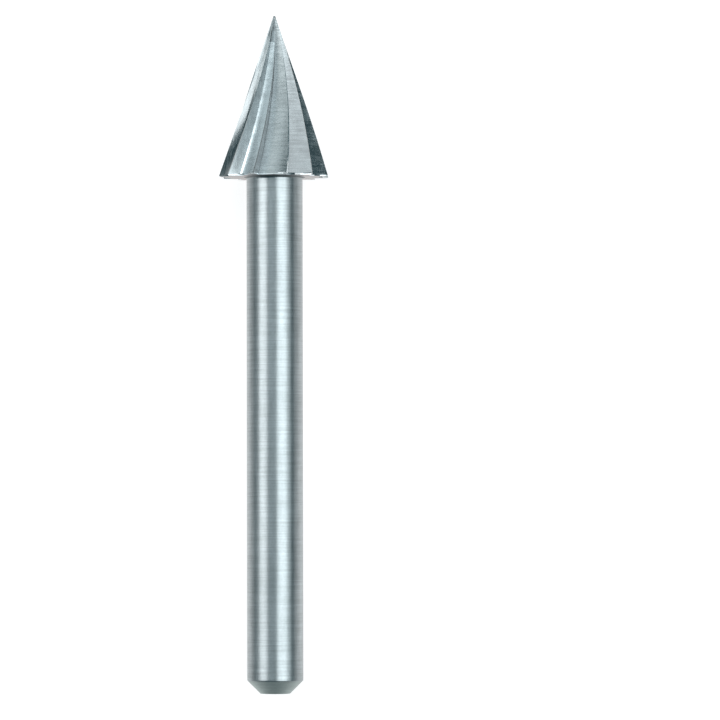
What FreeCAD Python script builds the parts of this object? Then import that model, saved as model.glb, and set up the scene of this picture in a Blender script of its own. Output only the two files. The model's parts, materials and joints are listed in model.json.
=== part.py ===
import FreeCAD, Part
import math
import os

# Cone-shaped rotary burr, turned and ground from one bar of high-speed steel: a pointed head
# with twelve spiral teeth, and a plain round shank that a collet grips.
# It is drawn upright, with the head's rear face at z = 0 and the tip up, and is then laid down
# as it comes to rest on a table: on two tooth corners and the rim of the shank's end.
# Laid down, the tip points along +Y, the table is z = 0, and the origin is on the table under
# the middle of the part. Lengths are in millimetres and angles in degrees.

# Turned blank
head_diameter = 6.35
head_length = 9.17
tip_diameter = 0.1
rear_break = 0.05
shank_diameter = 3.175
shank_length = 29.2
end_chamfer = 0.75
neck_fillet = 0.15

# Ground teeth: depth, floor radius and land are those at the rear face, and shrink to the tip.
# The bend is the share of the twist that gathers towards the tip, and the tip's share is the
# gullet's depth there over the radius.
tooth_count = 12
tooth_twist = 32.0
twist_bend = 0.2
gullet_depth = 0.74
gullet_floor_radius = 0.14
gullet_lead = 5.0
land_width = 0.05
tip_gullet_share = 0.4

# Solid point: the gullets run out between these two diameters of the cone
runout_start_diameter = 0.7
runout_end_diameter = 0.26

# Cross-sections that the gullet passes through: how far below the rear face they start, and how
# far each reaches outside the cone, as a share of the cone's radius
section_count = 6
start_below = 0.5
outside_share = 0.5

# Values worked out from the sizes above
head_radius = head_diameter / 2
tip_radius = tip_diameter / 2
shank_radius = shank_diameter / 2
end_radius = shank_radius - end_chamfer
cone_slope = (head_radius - tip_radius) / head_length
apex_height = head_radius / cone_slope
pitch = 360.0 / tooth_count
land_angle = math.degrees(land_width / head_radius)
rear_gullet_share = gullet_depth / head_radius
floor_share = gullet_floor_radius / head_radius


def cone_radius(z):
    """Radius of the turned cone at height z."""
    return head_radius - cone_slope * z


def cone_height(radius):
    """Height at which the turned cone has a radius."""
    return (head_radius - radius) / cone_slope


def gullet_radius(z):
    """Distance from the axis to the bottom of a gullet, before its floor is rounded."""
    along = z / apex_height
    share = rear_gullet_share + (tip_gullet_share - rear_gullet_share) * along
    return cone_radius(z) * (1 - share)


def twist(z):
    """Turn of the teeth at height z, counted from their rear corners."""
    along = (z - rear_break) / head_length
    return tooth_twist * ((1 - twist_bend) * along + twist_bend * along * along)


def polar(radius, angle, z):
    """Point at a radius and an angle, counted from the front towards the right."""
    turn = math.radians(angle)
    return FreeCAD.Vector(radius * math.sin(turn), -radius * math.cos(turn), z)


def revolved(points, neck=None):
    """Solid turned about the axis from (radius, height) points; neck is the fillet's corner."""
    corners = [FreeCAD.Vector(r, 0, z) for r, z in points]
    edges = []
    for start, end in zip(corners, corners[1:] + corners[:1]):
        if neck and (start.x, start.z) == neck:
            bulge = neck_fillet * (1 - math.sqrt(0.5))
            middle = FreeCAD.Vector(start.x + bulge, 0, end.z - bulge)
            edges.append(Part.Arc(start, middle, end).toShape())
        else:
            edges.append(Part.LineSegment(start, end).toShape())
    face = Part.Face(Part.Wire(edges))
    return face.revolve(FreeCAD.Vector(), FreeCAD.Vector(0, 0, 1), 360)


def turned_blank():
    """Shank and plain cone, up to where the gullets have run out."""
    top = cone_height(runout_end_diameter / 2)
    neck = (shank_radius, -neck_fillet)
    return revolved(
        [
            (0, -shank_length),
            (end_radius, -shank_length),
            (shank_radius, end_chamfer - shank_length),
            neck,
            (shank_radius + neck_fillet, 0),
            (cone_radius(rear_break) - rear_break, 0),
            (cone_radius(rear_break), rear_break),
            (cone_radius(top), top),
            (0, top),
        ],
        neck,
    )


def solid_point():
    """The tip, with the core inside the teeth that the gullets run out on."""
    start = cone_height(runout_start_diameter / 2)
    end = cone_height(runout_end_diameter / 2)
    return revolved(
        [
            (0, start),
            (gullet_radius(start), start),
            (cone_radius(end), end),
            (tip_radius, head_length),
            (0, head_length),
        ]
    )


def gullet_section(z):
    """Closed outline of one gullet at height z: rake face, rounded floor and the next tooth's back."""
    size = cone_radius(z)
    edge_angle = pitch / 2 + land_angle / 2 + twist(z)
    edge = polar(size, edge_angle, z)
    heel = polar(size, edge_angle + pitch - land_angle, z)
    bottom = polar(gullet_radius(z), edge_angle + gullet_lead, z)
    up_rake = (edge - bottom).normalize()
    up_back = (heel - bottom).normalize()
    half_corner = up_rake.getAngle(up_back) / 2
    floor_radius = floor_share * size
    reach = floor_radius / math.tan(half_corner)
    centre_line = (up_rake + up_back).normalize()
    floor_centre = bottom + centre_line * (floor_radius / math.sin(half_corner))
    rake_end = bottom + up_rake * reach
    back_end = bottom + up_back * reach
    floor_middle = floor_centre - centre_line * floor_radius
    rake_top = edge + up_rake * (outside_share * size)
    back_top = heel + up_back * (outside_share * size)
    return Part.Wire(
        [
            Part.LineSegment(rake_top, rake_end).toShape(),
            Part.Arc(rake_end, floor_middle, back_end).toShape(),
            Part.LineSegment(back_end, back_top).toShape(),
            Part.LineSegment(back_top, rake_top).toShape(),
        ]
    )


def gullet():
    """The metal that one pass of the grinding wheel takes away."""
    below = -start_below
    above = (cone_height(runout_end_diameter / 2) + head_length) / 2
    step = (above - below) / (section_count - 1)
    sections = [gullet_section(below + step * i) for i in range(section_count)]
    return Part.makeLoft(sections, True, False)


def upright_burr():
    """The whole burr, tip up."""
    tool = gullet()
    gullets = []
    for i in range(tooth_count):
        copy = tool.copy()
        copy.rotate(FreeCAD.Vector(), FreeCAD.Vector(0, 0, 1), pitch * i)
        gullets.append(copy)
    return turned_blank().cut(gullets).fuse(solid_point()).removeSplitter()


def laid_down(shape):
    """The burr at rest: two tooth corners and the shank's rim on z = 0, tip towards +Y."""
    corner_height = rear_break
    corner_drop = cone_radius(corner_height) * math.cos(math.radians((pitch - land_angle) / 2))
    rim_height = end_chamfer - shank_length
    tilt = math.atan2(corner_drop - shank_radius, corner_height - rim_height)
    lift = corner_drop * math.cos(tilt) - corner_height * math.sin(tilt)
    far_end = head_length * math.cos(tilt) + tip_radius * math.sin(tilt)
    near_end = shank_length * math.cos(tilt) + end_radius * math.sin(tilt)
    laid = shape.copy()
    laid.rotate(FreeCAD.Vector(), FreeCAD.Vector(1, 0, 0), math.degrees(tilt) - 90)
    laid.translate(FreeCAD.Vector(0, (near_end - far_end) / 2, lift))
    return laid


def main():
    os.makedirs("parts", exist_ok=True)
    laid_down(upright_burr()).exportStep("parts/burr.step")


main()
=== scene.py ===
import json
import math

import bmesh
import bpy
from mathutils import Matrix, Vector, noise


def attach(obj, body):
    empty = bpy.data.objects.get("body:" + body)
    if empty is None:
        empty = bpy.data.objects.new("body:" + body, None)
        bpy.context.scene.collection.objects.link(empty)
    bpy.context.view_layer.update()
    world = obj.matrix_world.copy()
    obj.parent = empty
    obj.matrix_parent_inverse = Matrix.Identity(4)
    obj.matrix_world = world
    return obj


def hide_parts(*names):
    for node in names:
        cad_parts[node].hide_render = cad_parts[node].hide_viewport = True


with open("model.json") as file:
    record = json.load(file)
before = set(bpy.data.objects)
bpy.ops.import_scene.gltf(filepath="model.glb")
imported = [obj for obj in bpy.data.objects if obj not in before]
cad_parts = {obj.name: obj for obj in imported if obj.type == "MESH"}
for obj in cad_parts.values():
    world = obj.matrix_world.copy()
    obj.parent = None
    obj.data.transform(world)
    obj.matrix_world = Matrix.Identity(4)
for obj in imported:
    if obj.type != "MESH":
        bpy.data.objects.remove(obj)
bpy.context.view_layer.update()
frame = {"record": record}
shank_mount = frame["record"]["mounts"][0]

# Cone-shaped rotary burr, lying at rest on a pale floor with its tip towards +Y.
# It is drawn upright in millimetres, with the head's rear face at z = 0, and is then laid down
# along the line of its shank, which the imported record's mount gives.

MM = 0.001

# The mesh keeps each point's place in the upright drawing, for the marks in the materials
UPRIGHT = "upright"

# Turned form. The end's middle is closed by one flat face of END_CENTRE_RADIUS.
HEAD_RADIUS = 3.175
HEAD_LENGTH = 9.17
TIP_RADIUS = 0.05
REAR_BREAK = 0.05
SHANK_RADIUS = 1.5875
SHANK_LENGTH = 29.2
END_CHAMFER = 0.75
END_CENTRE_RADIUS = 0.02
CORNER_ROUND = 0.09
NECK_FILLET = 0.15

# Ground teeth, at the rear face. The bend is the share of the twist that gathers towards the
# tip, and the tip's share is the gullet's depth there over the radius. A hollow is how far a
# face sags at its middle, and the rounded floor takes at most ROOT_REACH of the rake face.
TOOTH_COUNT = 12
TOOTH_TWIST = 32.0
TWIST_BEND = 0.2
GULLET_DEPTH = 0.74
TIP_GULLET_SHARE = 0.4
FLOOR_RADIUS = 0.13
ROOT_REACH = 0.6
LAND_WIDTH = 0.065
RAKE_HOLLOW = 0.012
BACK_HOLLOW = 0.028

# Solid point: the gullets run out between these two radii of the cone
RUNOUT_START_RADIUS = 0.25
RUNOUT_END_RADIUS = 0.09

# Uneven indexing of the grinding: how far each tooth lies from its even place, in degrees,
# from the first tooth right of the front. The two teeth that the head rests on are even.
TOOTH_SLIPS = (2.9, 2.0, 2.5, 5.0, 3.3, 0.0, 0.0, 0.9, -3.5, -5.5, -6.0, -2.4)

# How far a gullet's bottom lies ahead of its tooth's edge, in degrees at the rear and the tip
GULLET_LEAD = (5.0, 5.0)

# Gullets that differ from the rest, by their tooth: the lead, the share of the depth, the
# floor's radius, and the hollow of the back beyond the floor
OTHER_LEADS = {0: (1.5, 2.5), 9: (14.4, 16.5), 10: (4.7, 4.7), 11: (0.0, 0.5)}
OTHER_DEPTHS = {9: 0.6}
OTHER_FLOORS = {0: 0.04, 10: 0.06, 11: 0.02}
OTHER_HOLLOWS = {11: 0.055}

# Tiny chips along the rear rim: how deep, how many to the millimetre, how rare, and how fast
# they deepen
CHIP_DEPTH = 0.14
CHIPS_PER_MM = 2.5
CHIP_RARITY = 0.10
CHIP_SLOPE = 4

# Mesh density
HEAD_RINGS = 120
TIP_RINGS = 40
LAND_STEPS = 2
RAKE_STEPS = 4
FLOOR_STEPS = 6
BACK_STEPS = 6
ROUND_STEPS = 6
SHARP_ANGLE = 20

# Finishes, in the order of the material slots
SHANK, PAINTED_SHADE, LAND_GLINT, RAKE, BACK, REAR, END = range(7)

# Finishes of a tooth's land, rake face and gullet floor. On two teeth, up to the height where the
# point begins, they paint the fine lines beside the edge: a white painted highlight on one gullet's
# floor, and a dark painted shade line on the land after it, for the shadow on its undercut rake.
TOOTH_FINISHES = (LAND_GLINT, RAKE, RAKE)
OTHER_FINISHES = {10: (LAND_GLINT, RAKE, LAND_GLINT), 11: (PAINTED_SHADE, RAKE, RAKE)}
POINT_HEIGHT = 7.6

PITCH = 2 * math.pi / TOOTH_COUNT
CONE_SLOPE = (HEAD_RADIUS - TIP_RADIUS) / HEAD_LENGTH


def cone_radius(z):
    """Radius of the turned cone at height z."""
    return HEAD_RADIUS - CONE_SLOPE * z


def cone_height(radius):
    """Height at which the turned cone has a radius."""
    return (HEAD_RADIUS - radius) / CONE_SLOPE


def gullet_radius(z, depth=1.0):
    """Distance from the axis to the bottom of a gullet, before its floor is rounded."""
    along = z * CONE_SLOPE / HEAD_RADIUS
    rear_share = GULLET_DEPTH / HEAD_RADIUS
    share = rear_share + (TIP_GULLET_SHARE - rear_share) * along
    return cone_radius(z) * (1 - depth * share)


def core_radius(z):
    """Radius of the solid core that the gullets run out on near the tip, or 0 below it."""
    start = cone_height(RUNOUT_START_RADIUS)
    end = cone_height(RUNOUT_END_RADIUS)
    if z <= start:
        return 0.0
    if z >= end:
        return cone_radius(z)
    share = (z - start) / (end - start)
    return gullet_radius(start) * (1 - share) + cone_radius(end) * share


def twist(z):
    """Turn of the teeth at height z, in radians from their rear corners."""
    along = (z - REAR_BREAK) / HEAD_LENGTH
    return math.radians(TOOTH_TWIST) * ((1 - TWIST_BEND) * along + TWIST_BEND * along**2)


def polar(radius, angle):
    """Flat point at a radius and an angle, counted from the front towards the right."""
    return Vector((radius * math.sin(angle), -radius * math.cos(angle)))


def tooth_angle(tooth):
    """Place of a tooth at its rear corner, in radians from the front."""
    index = tooth % TOOTH_COUNT
    return PITCH / 2 + PITCH * tooth + math.radians(TOOTH_SLIPS[index])


def face_normal(start, end):
    """Outward direction of a face that runs from start to end, towards the next tooth."""
    along = end - start
    return Vector((along.y, -along.x)).normalized()


def spread(start, end, steps, hollow=0.0):
    """Points from start up to, but not at, the end, on a parabola that sags by the hollow."""
    outward = face_normal(start, end)
    points = []
    for i in range(steps):
        share = i / steps
        points.append(start.lerp(end, share) - outward * (4 * hollow * share * (1 - share)))
    return points


def tooth_points(z, tooth):
    """Outline of one tooth pitch at height z: the land, the rake face, the floor and the back."""
    size = cone_radius(z)
    shrink = size / HEAD_RADIUS
    land = LAND_WIDTH / HEAD_RADIUS
    edge_angle = tooth_angle(tooth) + land / 2 + twist(z)
    next_angle = tooth_angle(tooth + 1) + land / 2 + twist(z)
    heel = polar(size, edge_angle - land)
    edge = polar(size, edge_angle)
    rear_lead, tip_lead = OTHER_LEADS.get(tooth, GULLET_LEAD)
    lead = math.radians(rear_lead + (tip_lead - rear_lead) * z / HEAD_LENGTH)
    bottom = polar(gullet_radius(z, OTHER_DEPTHS.get(tooth, 1.0)), edge_angle + lead)
    next_heel = polar(size, next_angle - land)

    # Both faces meet the floor at the slope of their parabola there
    rake_hollow = RAKE_HOLLOW * shrink
    back_hollow = OTHER_HOLLOWS.get(tooth, BACK_HOLLOW) * shrink
    rake_sag = face_normal(edge, bottom) * (4 * rake_hollow)
    back_sag = face_normal(bottom, next_heel) * (4 * back_hollow)
    up_rake = (edge - bottom - rake_sag).normalized()
    up_back = (next_heel - bottom - back_sag).normalized()

    half_corner = up_rake.angle(up_back) / 2
    widest = ROOT_REACH * (edge - bottom).length * math.tan(half_corner)
    floor_radius = min(OTHER_FLOORS.get(tooth, FLOOR_RADIUS), widest)
    reach = floor_radius / math.tan(half_corner)
    centre_line = (up_rake + up_back).normalized()
    centre = bottom + centre_line * (floor_radius / math.sin(half_corner))
    rake_end = bottom + up_rake * reach
    back_end = bottom + up_back * reach

    points = spread(heel, edge, LAND_STEPS)
    points += spread(edge, rake_end, RAKE_STEPS, rake_hollow)
    sweep = math.pi - 2 * half_corner
    for i in range(FLOOR_STEPS):
        turn = Matrix.Rotation(sweep * i / FLOOR_STEPS, 2)
        points.append(centre + turn @ (rake_end - centre))
    return points + spread(back_end, next_heel, BACK_STEPS, back_hollow)


def chip(point):
    """Depth of the chip, if any, in the rear rim at a flat point."""
    rise = noise.noise(point.to_3d() * CHIPS_PER_MM) - CHIP_RARITY
    return CHIP_DEPTH * min(max(CHIP_SLOPE * rise, 0.0), 1.0)


def raised(flat, z):
    """A flat point at height z."""
    return Vector((flat.x, flat.y, z))


def head_ring(z):
    """Closed outline of the head at height z."""
    limit = cone_radius(z)
    if z < REAR_BREAK:
        limit = cone_radius(REAR_BREAK) - REAR_BREAK + z
    core = core_radius(z)
    ring = []
    for tooth in range(TOOTH_COUNT):
        for point in tooth_points(z, tooth):
            radius = min(max(point.length, core), limit)
            if z <= REAR_BREAK:
                radius -= chip(point)
            ring.append(raised(point.normalized() * radius, z))
    return ring


def head_heights():
    """Heights of the head's rings, closer together where the gullets run out."""
    start = cone_height(RUNOUT_START_RADIUS)
    heights = [0.0, REAR_BREAK, 2 * REAR_BREAK]
    step = (start - REAR_BREAK) / HEAD_RINGS
    heights += [REAR_BREAK + step * i for i in range(2, HEAD_RINGS)]
    tip_step = (HEAD_LENGTH - start) / TIP_RINGS
    heights += [start + tip_step * i for i in range(TIP_RINGS + 1)]
    return heights


def circle(radius, z, count, first):
    """Round ring of points that starts beside the first point of the head's ring."""
    return [raised(polar(radius, first + 2 * math.pi * i / count), z) for i in range(count)]


def shank_profile():
    """Radius, height and finish of the face above it, from the rear face down to the end."""
    profile = [(SHANK_RADIUS + NECK_FILLET, 0.0, REAR)]
    for i in range(1, ROUND_STEPS + 1):
        turn = math.pi / 2 * i / ROUND_STEPS
        radius = SHANK_RADIUS + NECK_FILLET * (1 - math.sin(turn))
        # The fillet under the head, but for its last steps, takes the dark steel as painted shade
        finish = PAINTED_SHADE if i < ROUND_STEPS - 1 else SHANK
        profile.append((radius, -NECK_FILLET * (1 - math.cos(turn)), finish))
    corner = END_CHAMFER - SHANK_LENGTH
    reach = CORNER_ROUND * math.tan(math.pi / 8)
    for i in range(ROUND_STEPS + 1):
        turn = math.pi / 4 * i / ROUND_STEPS
        radius = SHANK_RADIUS - CORNER_ROUND * (1 - math.cos(turn))
        profile.append((radius, corner + reach - CORNER_ROUND * math.sin(turn), SHANK))
    profile.append((SHANK_RADIUS - END_CHAMFER, -SHANK_LENGTH, END))
    profile.append((END_CENTRE_RADIUS, -SHANK_LENGTH, END))
    return profile


def bridge(bm, lower, upper, finishes):
    """Quads between two rings of the same count, each with the finish of its place."""
    count = len(lower)
    for i in range(count):
        j = (i + 1) % count
        face = bm.faces.new((lower[i], lower[j], upper[j], upper[i]))
        face.material_index = finishes[i % len(finishes)]


def head_finishes(z):
    """Finishes around the head at height z, in the order of the ring's points."""
    others = OTHER_FINISHES if z < POINT_HEIGHT else {}
    finishes = []
    for tooth in range(TOOTH_COUNT):
        land, rake, floor = others.get(tooth, TOOTH_FINISHES)
        finishes += [land] * LAND_STEPS + [rake] * RAKE_STEPS
        finishes += [floor] * FLOOR_STEPS + [BACK] * BACK_STEPS
    return finishes


def burr_mesh():
    """The burr, drawn upright in millimetres."""
    bm = bmesh.new()
    heights = head_heights()
    rings = [[bm.verts.new(p) for p in head_ring(z)] for z in heights]
    # The rear rim's break and its chips take the light land steel, as painted glints
    bridge(bm, rings[0], rings[1], [LAND_GLINT])
    for z, lower, upper in zip(heights[1:], rings[1:], rings[2:]):
        bridge(bm, lower, upper, head_finishes(z))
    bm.faces.new(rings[-1]).material_index = BACK

    above = rings[0]
    count = len(above)
    first = math.atan2(above[0].co.x, -above[0].co.y)
    for radius, z, finish in shank_profile():
        ring = [bm.verts.new(p) for p in circle(radius, z, count, first)]
        bridge(bm, ring, above, [finish])
        above = ring
    bm.faces.new(above).material_index = END
    bmesh.ops.recalc_face_normals(bm, faces=bm.faces)
    return bm


def laid_down():
    """Turns places in the upright drawing, in millimetres, into the row frame, in metres."""
    away = Vector(shank_mount["axis"]).normalized()
    middle = NECK_FILLET + shank_mount["dims"]["length_mm"] / 2
    rear = Vector(shank_mount["pos_m"]) - away * (middle * MM)
    tilt = math.atan2(-away.z, -away.y)
    turn = Matrix.Rotation(tilt - math.pi / 2, 4, "X")
    return Matrix.Translation(rear) @ turn @ Matrix.Scale(MM, 4)


def make_burr():
    """The burr as one piece that stands for the CAD node."""
    bm = burr_mesh()
    mesh = bpy.data.meshes.new("burr_steel")
    bm.to_mesh(mesh)
    bm.free()
    upright = mesh.attributes.new(UPRIGHT, "FLOAT_VECTOR", "POINT")
    upright.data.foreach_set("vector", [c for v in mesh.vertices for c in v.co])
    mesh.transform(laid_down())
    mesh.shade_smooth()
    mesh.set_sharp_from_angle(angle=math.radians(SHARP_ANGLE))
    for finish in STEELS:
        mesh.materials.append(steel(*finish))
    burr = bpy.data.objects.new("burr_steel", mesh)
    bpy.context.collection.objects.link(burr)
    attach(burr, "root")
    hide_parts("burr")


# Materials

STEEL_COLOUR = (0.465, 0.51, 0.525, 1)
# Steel darkened as painted shade, under the head and along one tooth's edge
PAINTED_SHADE_COLOUR = (0.20925, 0.2295, 0.23625, 1)
# Steel lightened as painted highlight on the lands, the rear rim and one gullet's floor
LAND_GLINT_COLOUR = (0.9, 0.95, 0.97, 1)
RAKE_COLOUR = (0.47, 0.51, 0.525, 1)
REAR_COLOUR = (0.62, 0.60, 0.60, 1)
END_COLOUR = (0.45, 0.52, 0.51, 1)
STEEL_EDGE = (1, 1, 1, 1)

# Finishes of the steel, in the order of the material slots: name, marks and patches to the
# millimetre along each axis, lowest and highest roughness, colour, and depth of the marks
STEELS = (
    # Shank, ground round: rings of fine marks around it
    ("shank_steel", (0.5, 0.5, 14), (2.5, 2.5, 0.5), (0.29, 0.31), STEEL_COLOUR, 0.002),
    # Painted shade: steel darkened on the root of the shank under the head, and on one tooth's land
    ("painted_shade_steel", (0.5, 0.5, 14), (1, 1, 1), (0.35, 0.5), PAINTED_SHADE_COLOUR, 0.001),
    # Narrow lands along the teeth's edges, smooth, with a lighter colour as painted highlight; it
    # also
    #     # paints glints on the rear rim and one gullet's floor
    ("land_glint_steel", (4, 4, 4), (1, 1, 1), (0.12, 0.2), LAND_GLINT_COLOUR, 0.0004),
    # Rake faces and gullet floors: smooth, with streaks along the flute
    ("rake_steel", (8, 8, 1.2), (1, 1, 0.5), (0.18, 0.28), RAKE_COLOUR, 0.002),
    # Backs of the teeth: grey, with the wheel's marks across them
    ("back_steel", (1, 1, 10), (1.5, 1.5, 0.8), (0.20, 0.32), STEEL_COLOUR, 0.004),
    # Faced rear of the head
    ("rear_steel", (3, 3, 3), (1, 1, 1), (0.35, 0.5), REAR_COLOUR, 0.001),
    # Turned chamfer and end
    ("end_steel", (0.6, 0.6, 11), (0.9, 0.9, 2), (0.28, 0.45), END_COLOUR, 0.008),
)

# Grain to the millimetre along each axis, the same on every finish, and the shares of grain
# and patches that are added to the marks
GRAIN = (9, 9, 9)
GRAIN_SHARE = 0.45
PATCH_SHARE = 0.8

# Part of the mixed noise that colour and roughness are spread over, and the colour's darkest
# and lightest share
NOISE_MIDDLE = (0.35, 0.65)
DARKEST = 0.78
LIGHTEST = 1.14


class Nodes:
    """Short ways to add and link the nodes of one material."""

    def __init__(self, name):
        self.material = bpy.data.materials.new(name)
        self.material.use_nodes = True
        self.tree = self.material.node_tree
        self.shader = self.tree.nodes["Principled BSDF"]

    def feed(self, node, inputs):
        """Sets each input to its value, or links it to the output that is given for it."""
        for key, value in inputs.items():
            if isinstance(value, bpy.types.NodeSocket):
                self.tree.links.new(value, node.inputs[key])
            else:
                node.inputs[key].default_value = value

    def add(self, kind, inputs, **settings):
        """New node, with its settings and inputs."""
        node = self.tree.nodes.new(kind)
        for name, value in settings.items():
            setattr(node, name, value)
        self.feed(node, inputs)
        return node

    def number(self, operation, *operands):
        """Result of a math operation on numbers."""
        inputs = dict(enumerate(operands))
        return self.add("ShaderNodeMath", inputs, operation=operation).outputs["Value"]

    def vector(self, operation, *operands):
        """Result of a math operation on vectors; a length is a number."""
        inputs = dict(enumerate(operands))
        node = self.add("ShaderNodeVectorMath", inputs, operation=operation)
        return node.outputs["Value" if operation == "LENGTH" else "Vector"]

    def noise(self, scale, detail=2.0):
        """Noise from 0 to 1, with its own scale to the millimetre along each axis."""
        upright = self.add("ShaderNodeAttribute", {}, attribute_name=UPRIGHT)
        place = self.add("ShaderNodeMapping", {"Vector": upright.outputs["Vector"], "Scale": scale})
        inputs = {"Vector": place.outputs["Vector"], "Scale": 1.0, "Detail": detail}
        return self.add("ShaderNodeTexNoise", inputs).outputs["Fac"]

    def span(self, value, start, end, low, high):
        """The value's range from start to end, spread from low to high."""
        inputs = {"Value": value, "From Min": start, "From Max": end, "To Min": low, "To Max": high}
        return self.add("ShaderNodeMapRange", inputs).outputs["Result"]

    def mix(self, value, low, high):
        """Colour between two, by a value."""
        inputs = {"Factor": value, "A": low, "B": high}
        return self.add("ShaderNodeMix", inputs, data_type="RGBA").outputs["Result"]

    def bump(self, height, depth):
        """Surface relief of a depth in millimetres."""
        inputs = {"Height": height, "Distance": depth * MM}
        return self.add("ShaderNodeBump", inputs).outputs["Normal"]


def scaled(colour, share):
    """A colour made lighter or darker."""
    return tuple(c * share for c in colour[:3]) + (1,)


def steel(name, marks, patches, roughness, colour, depth):
    """Ground steel: fine marks, grain and larger patches, and relief that follows the marks."""
    nodes = Nodes(name)
    fine = nodes.noise(marks, detail=1.0)
    tone = nodes.number("MULTIPLY_ADD", nodes.noise(GRAIN), GRAIN_SHARE, fine)
    tone = nodes.number("MULTIPLY_ADD", nodes.noise(patches), PATCH_SHARE, tone)
    tone = nodes.number("MULTIPLY", tone, 1 / (1 + GRAIN_SHARE + PATCH_SHARE))
    shade = nodes.span(tone, *NOISE_MIDDLE, 0, 1)
    inputs = {
        "Metallic": 1.0,
        "Specular Tint": STEEL_EDGE,
        "Base Color": nodes.mix(shade, scaled(colour, DARKEST), scaled(colour, LIGHTEST)),
        "Roughness": nodes.span(tone, *NOISE_MIDDLE, *roughness),
        "Normal": nodes.bump(fine, depth),
    }
    nodes.feed(nodes.shader, inputs)
    return nodes.material


# Stage. The sheet glows white to the camera. In the metal it glows less and a little warmer,
# and falls to a share of that between two distances from the burr, in metres.

FLOOR_SIZE = 2.0
FLOOR_COLOUR = (0.42, 0.42, 0.42, 1)
FLOOR_ROUGHNESS = 0.9
FLOOR_GLOW = 0.80
FLOOR_GLOW_IN_METAL = 0.65
WHITE = (1, 1, 1, 1)
TINT_IN_METAL = (1.0, 0.965, 0.95, 1)
FAR_SHARE = 0.18
NEAR_BURR = 0.004
FAR_FROM_BURR = 0.012


def glow_beside_burr(nodes):
    """1 on the floor beside the burr, falling to a share farther from it."""
    half_length = (0, shank_mount["dims"]["length_mm"] * MM / 2, 0)
    place = nodes.add("ShaderNodeTexCoord", {}).outputs["Object"]
    beyond_end = nodes.vector("SUBTRACT", nodes.vector("ABSOLUTE", place), half_length)
    distance = nodes.vector("LENGTH", nodes.vector("MAXIMUM", beyond_end, (0, 0, 0)))
    return nodes.span(distance, NEAR_BURR, FAR_FROM_BURR, 1, FAR_SHARE)


def make_floor():
    """White sheet on a lit table."""
    nodes = Nodes("white_sheet")
    rays = nodes.add("ShaderNodeLightPath", {}).outputs
    mirrored = nodes.number("ADD", rays["Is Glossy Ray"], rays["Is Transmission Ray"])
    dimmed = nodes.number("MULTIPLY", mirrored, glow_beside_burr(nodes))
    seen = nodes.number("MULTIPLY", rays["Is Camera Ray"], FLOOR_GLOW)
    inputs = {
        "Base Color": FLOOR_COLOUR,
        "Roughness": FLOOR_ROUGHNESS,
        "Specular IOR Level": 0.0,
        "Emission Color": nodes.mix(rays["Is Camera Ray"], TINT_IN_METAL, WHITE),
        "Emission Strength": nodes.number("MULTIPLY_ADD", dimmed, FLOOR_GLOW_IN_METAL, seen),
    }
    nodes.feed(nodes.shader, inputs)
    half = FLOOR_SIZE / 2
    corners = [(-half, -half, 0), (half, -half, 0), (half, half, 0), (-half, half, 0)]
    mesh = bpy.data.meshes.new("floor")
    mesh.from_pydata(corners, [], [(0, 1, 2, 3)])
    mesh.materials.append(nodes.material)
    floor = bpy.data.objects.new("floor", mesh)
    bpy.context.collection.objects.link(floor)


# Camera. Places in the photograph are pixels of its 720 by 720 frame: where the shank ends,
# its middle line, and the height that the camera is square on to. The distance is in
# millimetres, the side and the roll in degrees.

FRAME_PIXELS = 720
PIXELS_PER_MM = 17.68
SHANK_END_Y = 693.0
SHANK_LINE_X = 274.8
SQUARE_ON_Y = 513.0
CAMERA_DISTANCE = 270.0
CAMERA_SIDE = 5.0
CAMERA_ROLL = -0.12
SENSOR_WIDTH = 36
CLIP_START = 0.001


def make_camera():
    """Camera square on to the lower shank, a little to its right, aimed at the frame's middle."""
    middle = FRAME_PIXELS / 2
    foot = (SHANK_END_Y - SQUARE_ON_Y) / PIXELS_PER_MM - SHANK_LENGTH
    aim = (SHANK_END_Y - middle) / PIXELS_PER_MM - SHANK_LENGTH
    across = (middle - SHANK_LINE_X) / PIXELS_PER_MM
    seen_from = math.radians(CAMERA_SIDE) - math.atan(across / CAMERA_DISTANCE)
    turned = laid_down() @ Matrix.Rotation(seen_from, 4, "Z")
    place = turned @ Vector((across, -CAMERA_DISTANCE, foot))
    target = turned @ Vector((across, 0, aim))
    forward = (target - place).normalized()
    right = forward.cross(turned.to_3x3() @ Vector((0, 0, 1))).normalized()
    axes = Matrix((right, right.cross(forward), -forward)).transposed().to_4x4()
    data = bpy.data.cameras.new("camera")
    data.sensor_width = SENSOR_WIDTH
    data.lens = data.sensor_width * CAMERA_DISTANCE * PIXELS_PER_MM / FRAME_PIXELS
    data.clip_start = CLIP_START
    camera = bpy.data.objects.new("camera", data)
    bpy.context.collection.objects.link(camera)
    roll = Matrix.Rotation(math.radians(CAMERA_ROLL), 4, "Z")
    camera.matrix_world = Matrix.Translation(place) @ axes @ roll
    bpy.context.scene.camera = camera


# Light

LAMP_DISTANCE = 0.8
WORLD_COLOUR = (0.35, 0.85, 1.0, 1)
WORLD_STRENGTH = 0.095

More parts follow.
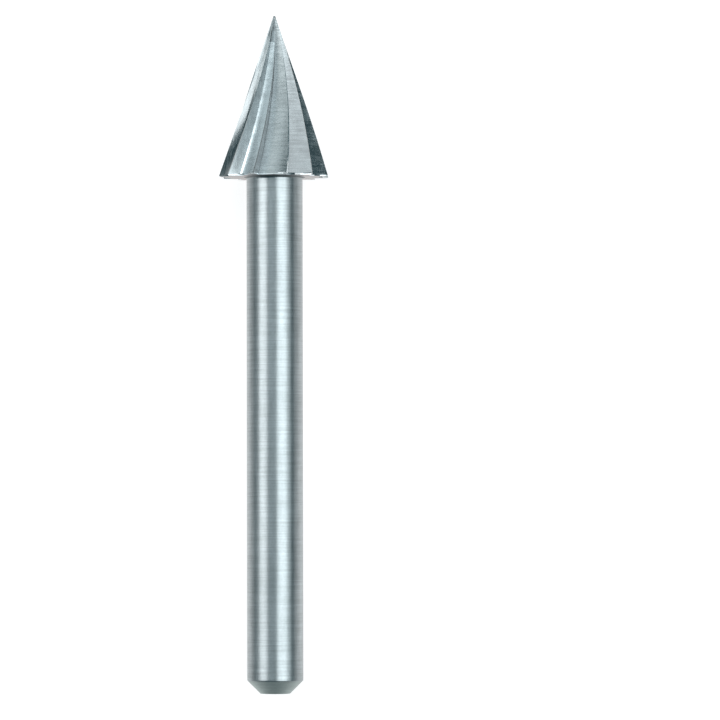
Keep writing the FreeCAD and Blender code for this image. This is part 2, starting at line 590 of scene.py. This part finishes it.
# Soft boxes above the burr: name, angle from straight up towards the right, and angle that
# the box spans, both in degrees; rear and front end along the floor, in metres, with the
# burr's middle at 0; glow and colour
LAMPS = (
    ("softbox_right", 35, 42, -0.60, 0.44, 2.0, (0.95, 0.99, 1.0)),
    ("softbox_left", -45.25, 35.5, -0.18, 0.37, 2.2, (1.0, 1.0, 1.0)),
    ("fill_right", 65, 12, -0.60, 0.20, 0.75, (0.95, 1.0, 1.0)),
    ("fill_left", -75, 14, -0.60, 0.14, 0.3, (1.0, 1.0, 1.0)),
    ("fill_middle", -8, 22, -0.12, 0.14, 0.80, (0.90, 0.97, 1.0)),
    ("fill_upper", -8, 40, 0.14, 0.40, 1.4, (0.95, 0.99, 1.0)),
    ("fill_front_right", 12, 48, 0.38, 1.40, 0.95, (1.0, 0.99, 1.0)),
    ("fill_front_left", -47, 34, 0.40, 1.40, 0.82, (0.95, 1.0, 1.0)),
    ("fill_front_middle", -21, 18, 0.40, 1.40, 0.62, (0.95, 1.0, 1.0)),
)


def make_lamp(name, angle, spanned, rear, front, glow, colour):
    """One soft box, as bright all over as its glow."""
    data = bpy.data.lights.new(name, "AREA")
    data.shape = "RECTANGLE"
    data.size = 2 * LAMP_DISTANCE * math.tan(math.radians(spanned) / 2)
    data.size_y = front - rear
    data.energy = glow * math.pi * data.size * data.size_y
    data.color = colour
    lamp = bpy.data.objects.new(name, data)
    bpy.context.collection.objects.link(lamp)
    turn = math.radians(angle)
    across = LAMP_DISTANCE * math.sin(turn)
    lamp.location = (across, (rear + front) / 2, LAMP_DISTANCE * math.cos(turn))
    lamp.rotation_euler = (0, turn, 0)


def make_light():
    """The soft boxes, and a faint cool light from all round."""
    for lamp in LAMPS:
        make_lamp(*lamp)
    world = bpy.data.worlds.new("studio")
    world.use_nodes = True
    background = world.node_tree.nodes["Background"]
    background.inputs["Color"].default_value = WORLD_COLOUR
    background.inputs["Strength"].default_value = WORLD_STRENGTH
    bpy.context.scene.world = world


make_burr()
make_floor()
make_camera()
make_light()
bpy.context.scene.view_settings.view_transform = "Standard"
